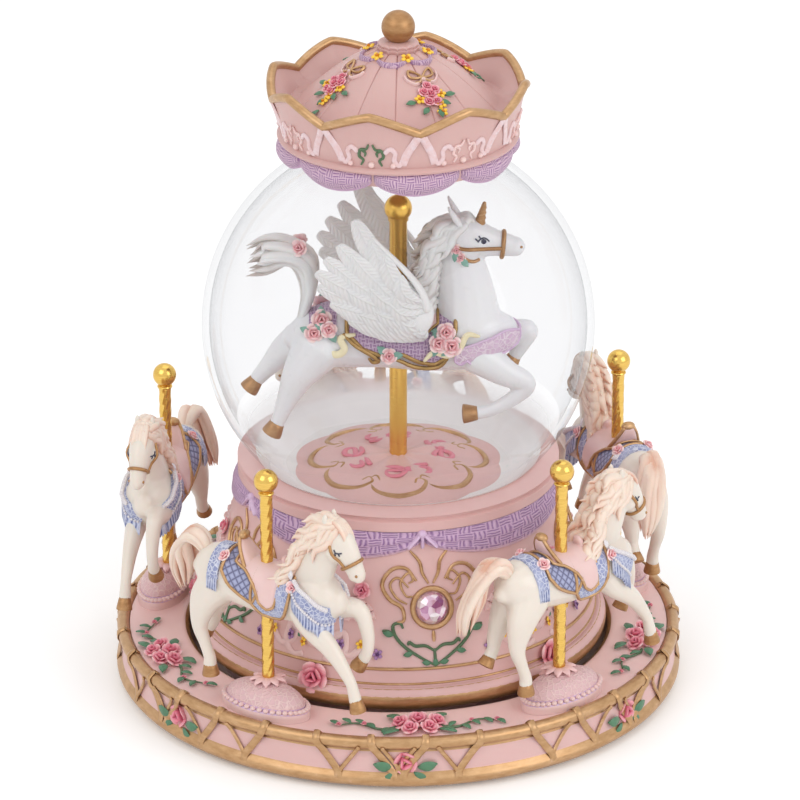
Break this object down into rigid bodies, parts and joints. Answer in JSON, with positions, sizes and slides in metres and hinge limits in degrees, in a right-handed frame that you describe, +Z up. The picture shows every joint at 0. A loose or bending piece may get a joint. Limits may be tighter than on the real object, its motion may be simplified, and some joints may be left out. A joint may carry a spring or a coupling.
{
  "type": "carousel music box",
  "caption": "Wind-up carousel music box: horses on poles ride a turning ring round a drum that carries a glass globe with a winged unicorn and a crowned canopy.",
  "frame": {"origin": "on the table, under the feet, on the axis that the carousel turns about", "axes": "+Z up along the carousel's axis, -Y towards the picture's camera, +X to its right"},
  "size_m": [0.1472, 0.1472, 0.1792],
  "materials": {
    "pink_resin": "pale pink painted resin, satin",
    "gold_paint": "antique gold paint, half gloss",
    "ivory_resin": "ivory painted resin, satin",
    "pearl_resin": "pearl white painted resin",
    "gold_metal": "bright gold plated metal",
    "clear_glass": "clear polished glass",
    "cut_crystal": "faceted pink crystal",
    "rubber_seal": "pale rubber",
    "rubber_foot": "dark rubber",
    "base_plastic": "moulded plastic",
    "gear_nylon": "white nylon",
    "movement_steel": "brushed steel",
    "movement_brass": "machined brass"
  },
  "bodies": {
    "base": {"base_pan": "base_plastic", "feet": "rubber_foot", "base_screws": "movement_steel", "shaft_bush": "gear_nylon", "idler_post": "movement_steel", "drum": "pink_resin", "drum_jewels": "cut_crystal", "globe_glass": "clear_glass", "globe_plug": "rubber_seal", "island": "pink_resin", "centre_pole": "gold_metal", "unicorn": "pearl_resin", "wing_right": "pearl_resin", "wing_left": "pearl_resin", "canopy": "pink_resin", "finial": "gold_paint", "movement_bedplate": "movement_brass", "movement_standoffs": "movement_steel", "movement_screws": "movement_steel", "inner_bracket": "movement_brass", "outer_bracket": "movement_brass", "comb": "movement_steel", "comb_support": "movement_brass", "comb_screws": "movement_steel"},
    "carousel": {"platform_ring": "pink_resin", "ring_gear": "gear_nylon", "pedestal_1": "pink_resin", "pedestal_2": "pink_resin", "pedestal_3": "pink_resin", "pedestal_4": "pink_resin", "pedestal_5": "pink_resin", "pole_1": "gold_metal", "pole_2": "gold_metal", "pole_3": "gold_metal", "pole_4": "gold_metal", "pole_5": "gold_metal", "horse_1": "ivory_resin", "horse_2": "ivory_resin", "horse_3": "ivory_resin", "horse_4": "ivory_resin", "horse_5": "ivory_resin"},
    "winder": {"winding_key": "movement_brass", "winding_shaft": "movement_steel", "drive_gear": "gear_nylon", "spring_barrel": "movement_brass", "mainspring": "movement_steel"},
    "idler": {"idler_gear": "gear_nylon"},
    "cylinder": {"music_cylinder": "movement_brass", "cylinder_arbor": "movement_steel", "cylinder_pinion": "movement_brass", "cylinder_gear": "movement_brass"},
    "governor": {"fly": "movement_steel", "fly_pinion": "movement_brass"}
  },
  "joints": [
    {"name": "carousel_spin", "type": "hinge", "parent": "base", "child": "carousel", "pos_m": [0, 0, 0.0125], "axis": [0, 0, 1], "continuous": true},
    {"name": "winder_spin", "type": "hinge", "parent": "base", "child": "winder", "pos_m": [0, 0, 0.009], "axis": [0, 0, 1], "continuous": true},
    {"name": "idler_spin", "type": "hinge", "parent": "base", "child": "idler", "pos_m": [0, 0.03844, 0.009], "axis": [0, 0, 1], "continuous": true},
    {"name": "cylinder_spin", "type": "hinge", "parent": "base", "child": "cylinder", "pos_m": [0.02, 0, 0.0312], "axis": [1, 0, 0], "continuous": true},
    {"name": "governor_spin", "type": "hinge", "parent": "base", "child": "governor", "pos_m": [0.02, 0.01005, 0.0312], "axis": [1, 0, 0], "continuous": true}
  ],
  "couplings": [
    {"joint": "winder_spin", "follows": "carousel_spin", "ratio": -3},
    {"joint": "idler_spin", "follows": "carousel_spin", "ratio": 3},
    {"joint": "cylinder_spin", "follows": "carousel_spin", "ratio": -9},
    {"joint": "governor_spin", "follows": "carousel_spin", "ratio": 27}
  ]
}
